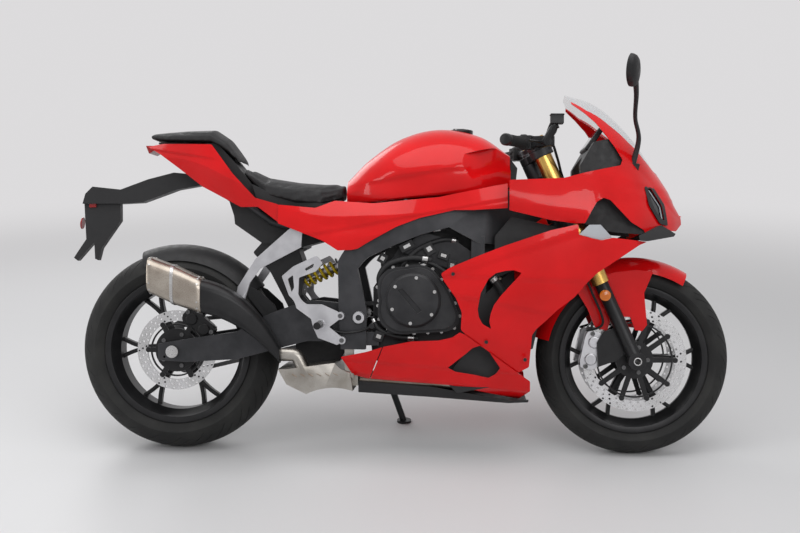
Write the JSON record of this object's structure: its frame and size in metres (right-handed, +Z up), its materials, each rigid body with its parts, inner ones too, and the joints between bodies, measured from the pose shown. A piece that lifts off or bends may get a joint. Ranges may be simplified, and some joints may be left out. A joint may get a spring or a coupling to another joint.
{
  "type": "sport motorcycle",
  "caption": "Fully faired road sport motorcycle with clip-on bars, underslung exhaust and side muffler, leaning on its side stand.",
  "frame": {"origin": "on the floor, under the middle of the machine's bounding box", "axes": "+X forwards, +Y to the rider's left, +Z up; the machine leans to its left on its side stand"},
  "size_m": [2.0818, 0.7674, 1.2454],
  "materials": {
    "red_paint": "gloss",
    "frame_alloy": "satin",
    "engine_alloy": "satin",
    "black_plastic": "matte",
    "silver_alloy": "satin",
    "steel": "brushed",
    "muffler_metal": "brushed",
    "shield_black": "satin",
    "spring_yellow": "gloss",
    "seat_cover": "satin",
    "lamp_red": "gloss",
    "lamp_clear": "gloss",
    "screen_smoke": "gloss",
    "fork_gold": "satin",
    "grip_black": "matte",
    "rim_black": "satin",
    "tyre_rubber": "matte"
  },
  "bodies": {
    "chassis": {"main_frame": "frame_alloy", "subframe": "frame_alloy", "swingarm": "frame_alloy", "rear_axle": "steel", "rear_caliper": "silver_alloy", "rear_shock": "steel", "shock_spring": "spring_yellow", "engine_block": "engine_alloy", "engine_covers": "engine_alloy", "radiator": "black_plastic", "header_pipes": "steel", "exhaust_box": "steel", "muffler": "muffler_metal", "muffler_shield": "shield_black", "drive_chain": "steel", "fuel_tank": "red_paint", "tank_trim": "black_plastic", "rider_seat": "seat_cover", "pillion_seat": "seat_cover", "side_covers": "red_paint", "tail_fairing": "red_paint", "tail_lamp": "lamp_red", "undertray": "black_plastic", "plate_bracket": "black_plastic", "rear_hugger": "black_plastic", "side_fairings": "red_paint", "lower_fairings": "red_paint", "belly_keel": "red_paint", "nose_fairing": "red_paint", "windscreen": "screen_smoke", "intake_ducts": "black_plastic", "fairing_inserts": "silver_alloy", "headlamps": "lamp_clear", "cockpit_panel": "black_plastic", "winglets": "black_plastic", "mirrors": "black_plastic", "footrest_hangers": "silver_alloy", "pillion_pegs": "silver_alloy"},
    "steering": {"triple_clamps": "frame_alloy", "fork_tubes": "fork_gold", "fork_legs": "fork_gold", "front_axle": "steel", "handlebars": "grip_black", "front_fender": "red_paint", "front_calipers": "silver_alloy"},
    "front_wheel": {"front_rim": "rim_black", "front_tyre": "tyre_rubber", "front_discs": "steel"},
    "rear_wheel": {"rear_rim": "rim_black", "rear_tyre": "tyre_rubber", "rear_disc": "steel", "rear_sprocket": "steel"},
    "side_stand": {"side_stand": "shield_black"}
  },
  "joints": [
    {"name": "steering_turn", "type": "hinge", "parent": "chassis", "child": "steering", "pos_m": [0.71205, -0.12027, 0.28225], "axis": [-0.4226, 0.1729, 0.8897], "range_deg": [-25, 25]},
    {"name": "front_wheel_spin", "type": "hinge", "parent": "steering", "child": "front_wheel", "pos_m": [0.74105, -0.11769, 0.29553], "axis": [0, 0.9816, -0.1908], "continuous": true},
    {"name": "rear_wheel_spin", "type": "hinge", "parent": "chassis", "child": "rear_wheel", "pos_m": [-0.68895, -0.11469, 0.31095], "axis": [0, 0.9816, -0.1908], "continuous": true},
    {"name": "side_stand_fold", "type": "hinge", "parent": "chassis", "child": "side_stand", "pos_m": [-0.06695, 0.04942, 0.25382], "axis": [0, 0.9905, 0.1374], "range_deg": [0, 100]}
  ]
}
